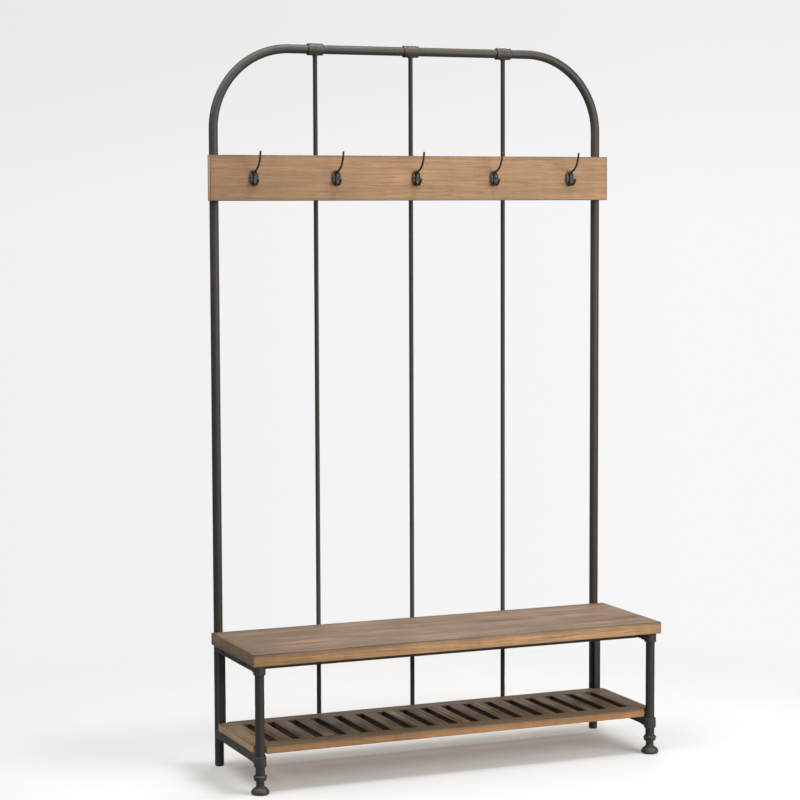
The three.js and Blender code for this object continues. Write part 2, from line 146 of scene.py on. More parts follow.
def edge_nearness(tree, here, half, reach):
    """1 on a board's edges, falling to 0 at reach from them, for a board of half its size."""
    apart = node(tree, "SeparateXYZ", {0: here}).outputs
    gaps = [maths(tree, "SUBTRACT", h, maths(tree, "ABSOLUTE", apart[i])) for i, h in enumerate(half)]
    low = maths(tree, "MINIMUM", maths(tree, "MINIMUM", gaps[0], gaps[1]), gaps[2])
    high = maths(tree, "MAXIMUM", maths(tree, "MAXIMUM", gaps[0], gaps[1]), gaps[2])
    total = maths(tree, "ADD", maths(tree, "ADD", gaps[0], gaps[1]), gaps[2])
    middle = maths(tree, "SUBTRACT", maths(tree, "SUBTRACT", total, low), high)
    nearness = node(tree, "MapRange", {0: middle, 1: 0.0, 2: reach, 3: 1.0, 4: 0.0})
    return nearness.outputs[0]


def growth_rings(tree, coordinates, spacing):
    """Saw-cut growth rings round a pith that lies under the board and drifts along it."""
    drift = stretched_noise(tree, coordinates, (0.9, 2.5, 2.5), (4, 9, 2), Detail=2.0)
    wander = stretched_noise(tree, coordinates, (3.1, 8, 8), (7, 1, 5), Detail=3.0)
    apart = node(tree, "SeparateXYZ", {0: coordinates}).outputs
    across = maths(tree, "ADD", apart[1], maths(tree, "MULTIPLY", wander, 0.022))
    depth = maths(tree, "ADD", apart[2], maths(tree, "MULTIPLY", drift, 0.16))
    place = node(tree, "CombineXYZ", {0: 0.0, 1: across, 2: depth}).outputs[0]
    radius = node(tree, "VectorMath", {0: place}, operation="LENGTH").outputs["Value"]
    jitter = stretched_noise(tree, coordinates, (5, 60, 60), (1, 6, 3), Detail=2.0)
    rings = maths(tree, "MULTIPLY", radius, 1.0 / spacing)
    return maths(tree, "FRACT", maths(tree, "ADD", rings, maths(tree, "MULTIPLY", jitter, 0.9)))


def grain(tree, coordinates, spacing, contrast):
    """How dark the grain is, about 0, with the fibre and the pores that it is made of."""
    rings = growth_rings(tree, coordinates, spacing)
    ring_tones = ((0.0, 0.25), (0.5, 0.4), (0.86, 1.0), (0.97, 0.12))
    late = ramp(tree, rings, [(position, (tone,) * 3) for position, tone in ring_tones])
    fibre = stretched_noise(tree, coordinates, (6, 300, 300), Detail=4.0, Roughness=0.65)
    figure = stretched_noise(tree, coordinates, (1.7, 26, 26), (2, 4, 6), Detail=4.0, Roughness=0.6)
    streaks = stretched_noise(tree, coordinates, (4.5, 165, 165), (5, 3, 9), Detail=3.0, Roughness=0.5)
    pores = stretched_noise(tree, coordinates, (22, 800, 800), (3, 1, 2), Detail=2.0)
    glow = stretched_noise(tree, coordinates, (11, 4, 4), (8, 5, 1), Detail=2.0)
    dark = 0.0
    layers = (
        (late, 0.45, 0.30), (fibre, 0.5, 1.05), (figure, 0.5, 1.1), (streaks, 0.5, 2.3), (glow, 0.5, 0.45),
    )
    for layer, middle, weight in layers:
        swing = maths(tree, "SUBTRACT", layer, middle)
        dark = maths(tree, "ADD", dark, maths(tree, "MULTIPLY", swing, weight * contrast))
    pore = node(tree, "MapRange", {0: pores, 1: 0.33, 2: 0.43, 3: 1.0, 4: 0.0}).outputs[0]
    return dark, fibre, pore


def facing_masks(tree, broad):
    """A point's normal in the piece's own axes, and how far it is on a wide face or a sawn end."""
    normal = node(tree, "VectorTransform", {0: node(tree, "NewGeometry").outputs["Normal"]},
                  vector_type="NORMAL", convert_from="WORLD", convert_to="OBJECT").outputs[0]
    signed = node(tree, "SeparateXYZ", {0: normal}).outputs
    facing = [maths(tree, "ABSOLUTE", o) for o in signed]
    wide = node(tree, "MapRange", {0: facing["XYZ".index(broad)], 1: 0.55, 2: 0.8}).outputs[0]
    sawn = node(tree, "MapRange", {0: facing[0], 1: 0.6, 2: 0.85}).outputs[0]
    return signed, wide, sawn


def stain_and_painted_shade(tree, coordinates, dark, wide, along, half_length, left_painted_shade):
    """The stain's shade: quieter grain, more blotches on the narrow faces; painted shade at the left."""
    blotch = stretched_noise(tree, coordinates, (16, 9, 9), (6, 2, 8), Detail=3.0, Roughness=0.6)
    quiet = maths(tree, "MULTIPLY", maths(tree, "SUBTRACT", wide, 1.0), -1.0)
    strength = maths(tree, "SUBTRACT", 1.0, maths(tree, "MULTIPLY", quiet, 0.6))
    patches = maths(tree, "ADD", maths(tree, "MULTIPLY", quiet, 0.5), 0.5)
    blotches = maths(tree, "MULTIPLY", maths(tree, "SUBTRACT", blotch, 0.5), patches)
    dark = maths(tree, "ADD", maths(tree, "MULTIPLY", dark, strength), blotches)
    shade = maths(tree, "POWER", 2.0, maths(tree, "MULTIPLY", dark, -1.0))
    # Painted shade: the board darkens towards its left end, as if less light fell there.
    left_shade_ramp = {0: along, 1: -half_length, 2: 0.5 - half_length, 3: left_painted_shade, 4: 1.0}
    return maths(tree, "MULTIPLY", shade, node(tree, "MapRange", left_shade_ramp).outputs[0])


def edge_tone(tree, narrow, height, half_height, upper_to_lower_tone, sideways, inner):
    """The long edges' colour: graded with height, with painted shade where they face the slots."""
    # The long edges' tone is scaled from their upper to their lower side.
    height_tone = {0: height, 1: half_height, 2: -half_height, 3: upper_to_lower_tone[0], 4: upper_to_lower_tone[1]}
    height_tone = node(tree, "MapRange", height_tone).outputs[0]
    colour = mix(tree, 1.0, narrow, grey(tree, height_tone), "MULTIPLY")
    if inner:
        # Painted shade on the long edge that faces the slots.
        slot_shade_mask = node(tree, "MapRange", {0: sideways, 1: 0.3 * inner, 2: 0.7 * inner}).outputs[0]
        colour = mix(tree, slot_shade_mask, colour, SLOT_PAINTED_SHADE)
    return colour


def wood(name, half, broad, face, narrow, end, spacing=0.009, contrast=1.0, upper_to_lower_tone=(1.0, 1.0),
         inner=None, left_painted_shade=1.0):
    """Stained wood with its grain along the piece's own X.

    half is half of the board's size. broad is the axis its wide faces look along. face, narrow and
    end are the tones of its wide faces, long edges and sawn ends; face and narrow differ partly in
    the wood's own colour and partly as painted light on tops and fronts. spacing is the width of a
    growth ring. upper_to_lower_tone is how the tone of its long edges changes from their upper to
    their lower side.
    inner is the side (-1 or 1) whose long edge faces the shelf's slots and gets painted shade.
    left_painted_shade is how dark the painted shade is at the left end.
    """
    material, tree, shader = new_material(name)
    here, coordinates = own_coordinates(tree)
    dark, fibre, pore = grain(tree, coordinates, spacing, contrast)
    signed, wide, sawn = facing_masks(tree, broad)
    along, _, height = node(tree, "SeparateXYZ", {0: here}).outputs
    # Wide faces and long edges get different tones by how they face: partly the wood's own colour, partly
    # painted light on tops and fronts.
    colour = edge_tone(tree, narrow, height, half[2], upper_to_lower_tone, signed[1], inner)
    colour = mix(tree, wide, colour, face)
    colour = mix(tree, sawn, colour, end)
    shade = stain_and_painted_shade(tree, coordinates, dark, wide, along, half[0], left_painted_shade)
    colour = mix(tree, 1.0, colour, grey(tree, shade), "MULTIPLY")
    colour = mix(tree, maths(tree, "MULTIPLY", pore, 0.4), colour, tuple(0.3 * c for c in face))
    for reach, tone in ((0.003, 0.62), (0.012, 0.84)):
        nearness = edge_nearness(tree, here, half, reach)
        shade = node(tree, "MapRange", {0: nearness, 1: 0.0, 2: 1.0, 3: 1.0, 4: tone}).outputs[0]
        colour = mix(tree, 1.0, colour, grey(tree, shade), "MULTIPLY")
    tree.links.new(colour, shader.inputs["Base Color"])
    set_roughness(tree, shader, fibre, (0.5, 0.64))
    shader.inputs["Specular IOR Level"].default_value = 0.4
    relief = maths(tree, "SUBTRACT", fibre, maths(tree, "MULTIPLY", pore, 0.6))
    add_bump(tree, shader, relief, 0.0002)
    return material


def coated_steel(name, dark, light, roughness):
    """Matte powder coat on steel: slight mottling, fine orange peel, a few rubbed specks."""
    material, tree, shader = new_material(name)
    _, coordinates = own_coordinates(tree)
    mottle = stretched_noise(tree, coordinates, (24, 24, 24), Detail=4.0, Roughness=0.6)
    speck = stretched_noise(tree, coordinates, (420, 420, 420), Detail=2.0)
    peel = stretched_noise(tree, coordinates, (900, 900, 900), Detail=2.0)
    colour = ramp(tree, mottle, [(0.32, dark), (0.68, light)])
    rubbed = node(tree, "MapRange", {0: speck, 1: 0.66, 2: 0.78}).outputs[0]
    colour = mix(tree, maths(tree, "MULTIPLY", rubbed, 0.5), colour, tuple(2.6 * c for c in light))
    tree.links.new(colour, shader.inputs["Base Color"])
    set_roughness(tree, shader, mottle, roughness)
    shader.inputs["Specular IOR Level"].default_value = 0.8
    shader.inputs["Specular Tint"].default_value = WARM_REFLECTION
    add_bump(tree, shader, peel, 0.00002)
    return material


def cast_iron(name, dark, light, roughness, relief_depth):
    """Painted sand casting: a grainy skin with painted highlights and wear on its high spots."""
    material, tree, shader = new_material(name)
    _, coordinates = own_coordinates(tree)
    mottle = stretched_noise(tree, coordinates, (130, 130, 130), Detail=5.0, Roughness=0.65)
    sand = stretched_noise(tree, coordinates, (520, 520, 520), Detail=3.0, Roughness=0.6)
    pits = stretched_noise(tree, coordinates, (240, 240, 240), (5, 2, 7), Detail=2.0)
    colour = ramp(tree, mottle, [(0.4, dark), (0.64, light)])
    # The sand grain's high points are lightened: painted highlights where the lumps would catch the light,
    # as well as wear.
    high = node(tree, "MapRange", {0: sand, 1: 0.56, 2: 0.72}).outputs[0]
    colour = mix(tree, maths(tree, "MULTIPLY", high, 0.55), colour, tuple(2.2 * c for c in light))
    raised = node(tree, "NewGeometry").outputs["Pointiness"]
    worn = node(tree, "MapRange", {0: raised, 1: 0.52, 2: 0.62}).outputs[0]
    colour = mix(tree, maths(tree, "MULTIPLY", worn, 0.4), colour, tuple(2.8 * c for c in light))
    tree.links.new(colour, shader.inputs["Base Color"])
    set_roughness(tree, shader, sand, roughness)
    shader.inputs["Specular IOR Level"].default_value = 0.8
    shader.inputs["Specular Tint"].default_value = WARM_REFLECTION
    relief = maths(tree, "ADD", sand, maths(tree, "MULTIPLY", pits, 0.8))
    add_bump(tree, shader, relief, relief_depth)
    return material


STEEL = coated_steel("frame_steel", (0.0115, 0.0092, 0.0069), (0.0165, 0.0135, 0.0102), (0.56, 0.66))
IRON = cast_iron("cast_iron", (0.0050, 0.0042, 0.0032), (0.0420, 0.0355, 0.0275), (0.50, 0.66), 0.0008)
HOOK_IRON = cast_iron("hook_iron", (0.0040, 0.0042, 0.0040), (0.0075, 0.0080, 0.0076), (0.42, 0.55), 0.00012)
SCREW_STEEL = coated_steel("screw_steel", (0.003, 0.003, 0.003), (0.006, 0.0058, 0.0055), (0.4, 0.5))

# Wide faces, long edges and sawn ends. Faces and edges differ partly in colour and partly as painted light.
SEAT_FACE, SEAT_EDGE, SEAT_END = (0.170, 0.106, 0.062), (0.430, 0.240, 0.110), (0.290, 0.180, 0.094)
BOARD_FACE, BOARD_EDGE, BOARD_END = (0.322, 0.180, 0.083), (0.18, 0.105, 0.055), (0.62, 0.43, 0.27)
SHELF_FACE, SHELF_EDGE, SHELF_END = (0.195, 0.128, 0.074), (0.420, 0.216, 0.086), (0.50, 0.31, 0.165)
# Painted shade: the dark colour of the sides of the slots, which lie in the seat's shade.
SLOT_PAINTED_SHADE = (0.080, 0.042, 0.018)


# ---------------------------------------------------------------------------------------------
# Meshes
# ---------------------------------------------------------------------------------------------

def add_piece(name, mesh, material, place=Matrix.Identity(4), nodes=()):
    """Puts a mesh in the scene as a piece of the bench that stands for the given CAD nodes."""
    if not mesh.materials:
        mesh.materials.append(material)
    piece = bpy.data.objects.new(name, mesh)
    bpy.context.scene.collection.objects.link(piece)
    piece.matrix_world = place
    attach(piece, "root")
    if nodes:
        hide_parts(*nodes)
    return piece


def mesh_of(name, bm, sharp_angle=35):
    """Turns a bmesh into a mesh that is smooth but for edges sharper than the angle."""
    bmesh.ops.recalc_face_normals(bm, faces=bm.faces)
    mesh = bpy.data.meshes.new(name)
    bm.to_mesh(mesh)
    bm.free()
    mesh.shade_smooth()
    mesh.set_sharp_from_angle(angle=math.radians(sharp_angle))
    return mesh


def node_shape(name, turn=0.0):
    """A CAD node's shape about its own middle, turned about Z, and the matrix that puts it back."""
    low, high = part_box(name)
    place = Matrix.Translation((low + high) / 2) @ Matrix.Rotation(turn, 4, "Z")
    bm = bmesh.new()
    bm.from_mesh(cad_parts[name].data)
    bmesh.ops.remove_doubles(bm, verts=bm.verts, dist=0.01 * MM)
    bmesh.ops.dissolve_limit(bm, angle_limit=math.radians(1), verts=bm.verts, edges=bm.edges)
    bm.transform(place.inverted())
    return bm, place


def soften(bm, width, segments, shortest):
    """Rounds the sharp edges of a shape that are longer than shortest."""
    sharp = math.radians(50)
    edges = [
        e for e in bm.edges
        if len(e.link_faces) == 2 and e.calc_face_angle() > sharp and e.calc_length() > shortest
    ]
    bmesh.ops.bevel(
        bm, geom=edges, offset=width, offset_type="OFFSET", segments=segments,
        profile=0.6, affect="EDGES", clamp_overlap=True,
    )


def add_softened(name, material, width, turn=0.0, segments=2, shortest=4 * MM):
    """A piece with its CAD node's shape and rounded edges."""
    bm, place = node_shape(name, turn)
    soften(bm, width, segments, shortest)
    return add_piece(name + "_finished", mesh_of(name, bm), material, place, [name])


def add_ring(bm, centre, across, up, sides):
    """A ring of vertices about a point, from its two half-axes."""
    angles = [2 * math.pi * i / sides for i in range(sides)]
    return [bm.verts.new(centre + across * math.cos(a) + up * math.sin(a)) for a in angles]


def turned_rings(bm, profile, sides):
    """Rings of vertices about Z. profile is (radius, height) pairs from the bottom to the top."""
    return [
        add_ring(bm, Vector((0, 0, z)), Vector((r, 0, 0)), Vector((0, r, 0)), sides)
        for r, z in profile
    ]


def join_rings(bm, rings):
    """Faces between rings of vertices one after another."""
    for ring, following in zip(rings, rings[1:]):
        count = len(ring)
        for i in range(count):
            j = (i + 1) % count
            bm.faces.new((ring[i], ring[j], following[j], following[i]))


def skin(bm, rings):
    """A solid through rings of vertices, with both ends closed."""
    join_rings(bm, rings)
    bm.faces.new(rings[0][::-1])
    bm.faces.new(rings[-1])


def skin_tube(bm, outer, inner):
    """An open tube: its outside one way, its bore back, and its two end faces."""
    join_rings(bm, outer + inner[::-1] + outer[:1])


def bore_radius(name):
    """The radius of a tube's bore, from its CAD mesh at its lower left end."""
    low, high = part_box(name)
    radius = (high.y - low.y) / 2
    axis = Vector((low.x + radius, low.y + radius))
    corners = [v.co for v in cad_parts[name].data.vertices]
    mouth = [c for c in corners if c.z < low.z + 0.05 * MM and c.x < low.x + 2.1 * radius]
    return min((c.xy - axis).length for c in mouth)


def turned(profile, sides=ROUND):
    """A solid turned about Z."""
    bm = bmesh.new()
    skin(bm, turned_rings(bm, profile, sides))
    return bm


def swept(bm, points, radii, sides=16):
    """Adds a round bar through points, with its own radius at each."""
    rings = []
    across = None
    for i, point in enumerate(points):
        ahead = (points[min(i + 1, len(points) - 1)] - points[max(i - 1, 0)]).normalized()
        guide = across if across is not None else ahead.orthogonal()
        across = (guide - ahead * guide.dot(ahead)).normalized()
        up = ahead.cross(across)
        rings.append(add_ring(bm, point, across * radii[i], up * radii[i], sides))
    skin(bm, rings)


def cast_mesh(bm, name, voxel, smoothing, roughness):
    """Fuses a rough shape into one casting with soft edges and a slightly uneven skin."""
    rough = bpy.data.objects.new(name + "_pattern", mesh_of(name + "_pattern", bm))
    bpy.context.scene.collection.objects.link(rough)
    remesh = rough.modifiers.new("Fuse", "REMESH")
    remesh.mode = "VOXEL"
    remesh.voxel_size = voxel
    smooth = rough.modifiers.new("Soften", "SMOOTH")
    smooth.iterations = smoothing
    graph = bpy.context.evaluated_depsgraph_get()
    mesh = bpy.data.meshes.new_from_object(rough.evaluated_get(graph))
    mesh.name = name
    bpy.data.objects.remove(rough)
    normals = [v.normal.copy() for v in mesh.vertices]
    for vertex, normal in zip(mesh.vertices, normals):
        lumps = noise.noise(vertex.co * 160) + 0.5 * noise.noise(vertex.co * 420)
        vertex.co += normal * roughness * lumps
    mesh.shade_smooth()
    return mesh


def add_castings(names, material, slot, voxel=0.6 * MM, smoothing=2, roughness=0.12 * MM,
                 extra=None):
    """Castings made from one pattern, one for each of some CAD nodes that are alike.

    extra is a function that adds detail to the pattern before it is fused.
    """
    bm, _ = node_shape(names[0])
    if extra:
        extra(bm)
    mesh = cast_mesh(bm, names[0] + "_casting", voxel, smoothing, roughness)
    for name in names:
        low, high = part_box(name)
        add_piece(name + "_casting", mesh, material, Matrix.Translation((low + high) / 2), [name])


# ---------------------------------------------------------------------------------------------
# Hoop, rods and sleeves
# ---------------------------------------------------------------------------------------------

def hoop_points(low, high, radius, bend_steps=28):
    """The hoop's centreline. Its bends start where its CAD mesh leaves the straight posts."""
    corners = [v.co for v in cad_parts["hoop_tube"].data.vertices]
    bend_start = max(c.z for c in corners if c.x > high.x - 0.05 * MM)
    half_width = high.x - radius
    middle = (low.y + high.y) / 2
    bend = high.z - radius - bend_start
    points = [Vector((-half_width, middle, low.z))]
    for sign, start in ((-1, math.pi), (1, math.pi / 2)):
        for i in range(bend_steps + 1):
            angle = start - math.pi / 2 * i / bend_steps
            x = sign * (half_width - bend) + bend * math.cos(angle)
            points.append(Vector((x, middle, bend_start + bend * math.sin(angle))))
    points.append(Vector((half_width, middle, low.z)))
    return points


def add_hoop():
    """The bent tube, open at its two lower ends, where its plugs go in."""
    low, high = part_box("hoop_tube")
    radius = (high.y - low.y) / 2
    bore = bore_radius("hoop_tube")
    points = hoop_points(low, high, radius)
    bm = bmesh.new()
    outer, inner = [], []
    for i, point in enumerate(points):
        before = point - points[max(i - 1, 0)]
        after = points[min(i + 1, len(points) - 1)] - point
        ahead = (before.normalized() + after.normalized()).normalized()
        outward = Vector((0, 1, 0)).cross(ahead)
        outer.append(add_ring(bm, point, outward * radius, Vector((0, radius, 0)), ROUND))
        inner.append(add_ring(bm, point, outward * bore, Vector((0, bore, 0)), ROUND))
    skin_tube(bm, outer, inner)
    add_piece("hoop", mesh_of("hoop", bm), STEEL, nodes=["hoop_tube"])


def add_rods():
    """Each rod flares into a weld at the sleeve above it and at the cross rail below it."""
    rail_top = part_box("shelf_rail_rear")[1].z
    weld = 2.6 * MM
    for place in RODS:
        name = f"back_rod_{place}"
        low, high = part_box(name)
        sleeve_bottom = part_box(f"rod_sleeve_{place}")[0].z
        radius = (high.x - low.x) / 2
        profile = [
            (radius, low.z),
            (radius + weld, rail_top - MM),
            (radius + weld, rail_top + 0.4 * MM),
            (radius + 0.35 * weld, rail_top + 1.8 * MM),
            (radius, rail_top + 3.4 * MM),
            (radius, sleeve_bottom - 3.4 * MM),
            (radius + 0.35 * weld, sleeve_bottom - 1.6 * MM),
            (radius + weld, sleeve_bottom + 0.6 * MM),
            (radius + weld, sleeve_bottom + 3 * MM),
        ]
        middle = Matrix.Translation(((low.x + high.x) / 2, (low.y + high.y) / 2, 0))
        mesh = mesh_of(f"rod_{place}", turned(profile, 32))
        add_piece(name + "_finished", mesh, STEEL, middle, [name])
    sleeves = [f"rod_sleeve_{place}" for place in RODS]
    add_castings(sleeves, IRON, "frame_steel", voxel=0.8 * MM)


# ---------------------------------------------------------------------------------------------
# Screws and bolts
# ---------------------------------------------------------------------------------------------

def screw_mesh(name, radius, height, shank_radius, shank_length, recess="cross"):
    """A domed screw along Z, its head's underside at 0, with a cross or hexagonal recess."""
    sides = 24
    bm = turned([
        (shank_radius, -shank_length),
        (shank_radius, 0),
        (radius * 0.97, 0),
        (radius, 0.18 * height),
        (0.93 * radius, 0.55 * height),
        (0.72 * radius, 0.86 * height),
        (0.46 * radius, height),
    ], sides)
    top = max((f for f in bm.faces if len(f.verts) == sides), key=lambda f: f.calc_center_median().z)
    for depth in (0.0, 0.5 * height):
        bmesh.ops.inset_individual(bm, faces=[top], thickness=0.04 * radius, use_even_offset=True)
        for vertex in top.verts:
            angle = math.atan2(vertex.co.y, vertex.co.x)
            if recess == "cross":
                reach = radius * (0.36 if abs(math.sin(2 * angle)) < 0.55 else 0.12)
            else:
                corner = (angle % (math.pi / 3)) - math.pi / 6
                reach = 0.34 * radius / math.cos(corner)
            vertex.co.x = reach * math.cos(angle)
            vertex.co.y = reach * math.sin(angle)
            vertex.co.z = height - depth
    return mesh_of(name, bm, 30)


def add_rail_bolts():
    """Button head bolts in the side rails."""
    low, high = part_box("rail_bolt_front_right")
    radius = (high.z - low.z) / 2
    rail_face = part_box("seat_rail_right")[1].x
    height = high.x - rail_face
    mesh = screw_mesh("rail_bolt", radius, height, 0.6 * radius, high.x - low.x - height, "hex")
    for side, sign in SIDES:
        for place in ("front", "rear"):
            name = f"rail_bolt_{place}_{side}"
            low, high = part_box(name)
            seat = Vector((sign * rail_face, (low.y + high.y) / 2, (low.z + high.z) / 2))
            turn = Matrix.Rotation(sign * math.pi / 2, 4, "Y")
            position = Matrix.Translation(seat) @ turn
            add_piece(name + "_finished", mesh, SCREW_STEEL, position, [name])


def add_screws(name, places, direction, radius, height, length):
    """Cross head screws at some points, with their heads facing along direction."""
    mesh = screw_mesh(name, radius, height, 0.45 * radius, length)
    turn = Vector(direction).to_track_quat("Z", "Y").to_matrix().to_4x4()
    for i, place in enumerate(places):
        spin = Matrix.Rotation(1.9 * i, 4, "Z")
        position = Matrix.Translation(Vector(place)) @ turn @ spin
        add_piece(f"{name}_{i + 1}", mesh, SCREW_STEEL, position)


# ---------------------------------------------------------------------------------------------
# Wooden boards
# ---------------------------------------------------------------------------------------------

def half_size(name, turn=0.0):
    """Half of a board's size along its own axes, where its grain runs along X."""
    low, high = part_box(name)
    half = (high - low) / 2
    return (half.y, half.x, half.z) if turn else tuple(half)


def add_seat():
    name = "seat_board"
    tones = (SEAT_FACE, SEAT_EDGE, SEAT_END)
    looks = {"contrast": 2.0, "upper_to_lower_tone": (0.4, 1.7), "left_painted_shade": 0.68}
    material = wood("seat_wood", half_size(name), "Z", *tones, **looks)
    add_softened(name, material, 1.0 * MM)


def add_hook_board():
    name = "hook_board"
    tones = (BOARD_FACE, BOARD_EDGE, BOARD_END)
    material = wood("board_wood", half_size(name), "Y", *tones, contrast=0.5, left_painted_shade=0.82)
    add_softened(name, material, 0.8 * MM)


def add_shelf():
    """Two stiles along X, with slats and end boards between them, whose grain runs along Y."""
    quarter = math.pi / 2
    softness = 0.9 * MM
    spacing = 0.007
    for place, inner in (("front", 1), ("rear", -1)):
        name = f"shelf_stile_{place}"
        tones = (SHELF_FACE, SHELF_EDGE, SHELF_END)
        material = wood(f"{name}_wood", half_size(name), "Z", *tones, upper_to_lower_tone=(0.6, 1.25), inner=inner)
        add_softened(name, material, softness)
    slat_size = half_size("shelf_slat_1", quarter)
    # The slats' long edges face the slots and take the painted shade colour.
    slat_tones = (SHELF_FACE, SLOT_PAINTED_SHADE, SHELF_END)
    slat_wood = wood("shelf_slat_wood", slat_size, "Z", *slat_tones, spacing, contrast=2.3)
    slats = sorted(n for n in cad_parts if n.startswith("shelf_slat"))
    for name in slats:
        add_softened(name, slat_wood, softness, turn=quarter)
    for side, sign in SIDES:
        name = f"shelf_end_{side}"
        tones = (SHELF_FACE, SHELF_END, SHELF_EDGE)
        size = half_size(name, quarter)
        material = wood(f"{name}_wood", size, "Z", *tones, spacing, contrast=1.6, inner=sign)
        add_softened(name, material, softness, turn=quarter)


# ---------------------------------------------------------------------------------------------
# Rails, posts and legs
# ---------------------------------------------------------------------------------------------

def add_rails():
    """Rails and posts. The square tubes have wide corners on their long edges only."""
    tubes = [f"{place}_rail_{side}" for place in ("seat", "shelf") for side, _ in SIDES]
    for name in tubes + ["shelf_rail_rear"]:
        add_softened(name, STEEL, 3 * MM, segments=4, shortest=30 * MM)
    for name in ("seat_rail_front", "seat_rail_rear", "rear_post_left", "rear_post_right"):
        add_softened(name, STEEL, 0.7 * MM)


def add_cross_rail_welds():
    """Rippled weld beads round the ends of the cross rail, where it meets the hoop's posts."""
    low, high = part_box("shelf_rail_rear")
    middle = (low + high) / 2
    half = (high - low) / 2
    corners = ((-1, -1), (1, -1), (1, 1), (-1, 1), (-1, -1))
    inset, steps = 1.5 * MM, 8
    for side, sign in SIDES:
        path = []
        for (y, z), (next_y, next_z) in zip(corners, corners[1:]):
            for i in range(steps):
                part = i / steps
                across, up = y + (next_y - y) * part, z + (next_z - z) * part
                path.append(Vector((sign * (half.x - inset), across * half.y, up * half.z)))
        path.append(path[0])
        radii = [(2.2 + 0.5 * (i % 2)) * MM for i in range(len(path))]
        bm = bmesh.new()
        swept(bm, path, radii, 10)
        mesh = mesh_of(f"rail_weld_{side}", bm)
        add_piece(f"rail_weld_{side}", mesh, IRON, Matrix.Translation(middle))


def add_legs():
    """The front leg tubes, their collars, couplings and feet, and the plugs of the hoop."""
    ease = 0.8 * MM
    for side, _ in SIDES:
        name = f"front_leg_{side}"
        low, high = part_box(name)
        radius, bore = (high.x - low.x) / 2, bore_radius(name)
        half = (high.z - low.z) / 2
        outside = (
            (radius - ease, -half), (radius, ease - half), (radius, half - ease), (radius - ease, half),
        )
        inside = ((bore, -half), (bore, half))
        bm = bmesh.new()
        skin_tube(bm, turned_rings(bm, outside, ROUND), turned_rings(bm, inside, ROUND))
        middle = Matrix.Translation((low + high) / 2)
        add_piece(name + "_finished", mesh_of(name, bm), STEEL, middle, [name])
        for place in ("upper", "lower"):
            add_castings([f"leg_collar_{place}_{side}"], IRON, "cast_iron", roughness=0.22 * MM)
    for part in ("leg_coupling", "front_foot"):
        add_castings([f"{part}_{side}" for side, _ in SIDES], IRON, "cast_iron", roughness=0.5 * MM)
    add_castings([f"rear_foot_plug_{side}" for side, _ in SIDES], IRON, "cast_iron")


# ---------------------------------------------------------------------------------------------
# Hooks
# ---------------------------------------------------------------------------------------------

def hook_plate(corners):
    """The front of a hook's oval plate, its half-width, and the heights of its top and bottom."""
    wall = max(c.y for c in corners)
    back = [c for c in corners if c.y > wall - 0.1 * MM]
    half_width = max(c.x for c in back) / 2 - min(c.x for c in back) / 2
    middle = max(c.x for c in back) / 2 + min(c.x for c in back) / 2
    front = min(c.y for c in corners if abs(c.x - middle) > 0.8 * half_width)
    return front, half_width, max(c.z for c in back), min(c.z for c in back)


def dress_hook(bm):
    """Gives a hook's plate its raised rim, and the rib and swelling that its prongs grow from."""
    front, half_width, top, bottom = hook_plate([v.co for v in bm.verts])
    middle, half_height = (top + bottom) / 2, (top - bottom) / 2
    inset, rim_radius, rim_steps = 0.8 * MM, 1.7 * MM, 48
    rim = []
    for i in range(rim_steps + 1):
        angle = 2 * math.pi / rim_steps * i
        x, z = (half_width - inset) * math.cos(angle), (half_height - inset) * math.sin(angle)
        rim.append(Vector((x, front, middle + z)))
    swept(bm, rim, [rim_radius] * len(rim), 12)
    # Height from the plate's top and radius, in mm.
    rib = (
        (-1.0, 2.5), (-3.5, 5.2), (-7.5, 5.8), (-12.0, 4.2), (-20.0, 2.9), (-38.0, 2.9), (-44.0, 2.0),
    )
    points = [Vector((0, front - 1.2 * MM, top + drop * MM)) for drop, _ in rib]
    swept(bm, points, [radius * MM for _, radius in rib])


def add_hooks():
    names = [f"coat_hook_{i + 1}" for i in range(5)]
    details = {"voxel": 0.5 * MM, "smoothing": 3, "roughness": 0.05 * MM, "extra": dress_hook}
    add_castings(names, HOOK_IRON, "cast_iron", **details)
    places = []
    for name in names:
        corners = [v.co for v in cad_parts[name].data.vertices]
        front, half_width, top, bottom = hook_plate(corners)
        low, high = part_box(name)
        for _, sign in SIDES:
            x = (low.x + high.x) / 2 + sign * 0.52 * half_width
            places.append((x, front, (top + bottom) / 2))
    add_screws("hook_screw", places, (0, -1, 0), 2.7 * MM, 1.5 * MM, 3 * MM)


def add_board_screws():
    """Screws at the backs of the hoop and the rods, which hold the hook board."""
    board_low, board_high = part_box("hook_board")
    height = (board_low.z + board_high.z) / 2
    sunk = 1.2 * MM
    hoop_low, hoop_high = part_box("hoop_tube")
    radius = (hoop_high.y - hoop_low.y) / 2
    places = [(x, hoop_high.y - sunk, height) for x in (hoop_low.x + radius, hoop_high.x - radius)]
    for place in RODS:
        low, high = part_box(f"back_rod_{place}")
        places.append(((low.x + high.x) / 2, high.y - sunk, height))
    add_screws("board_screw", places, (0, 1, 0), 4 * MM, 3.4 * MM, 2 * MM)


def add_seat_screws():
    """Screws up through the side rails into the seat."""
    places = []
    for side, _ in SIDES:
        low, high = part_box(f"seat_rail_{side}")
        for part in (0.2, 0.5, 0.8):
            places.append(((low.x + high.x) / 2, low.y + part * (high.y - low.y), low.z))
    add_screws("seat_screw", places, (0, 0, -1), 4.4 * MM, 2.4 * MM, 1 * MM)


# ---------------------------------------------------------------------------------------------
# Studio
# ---------------------------------------------------------------------------------------------

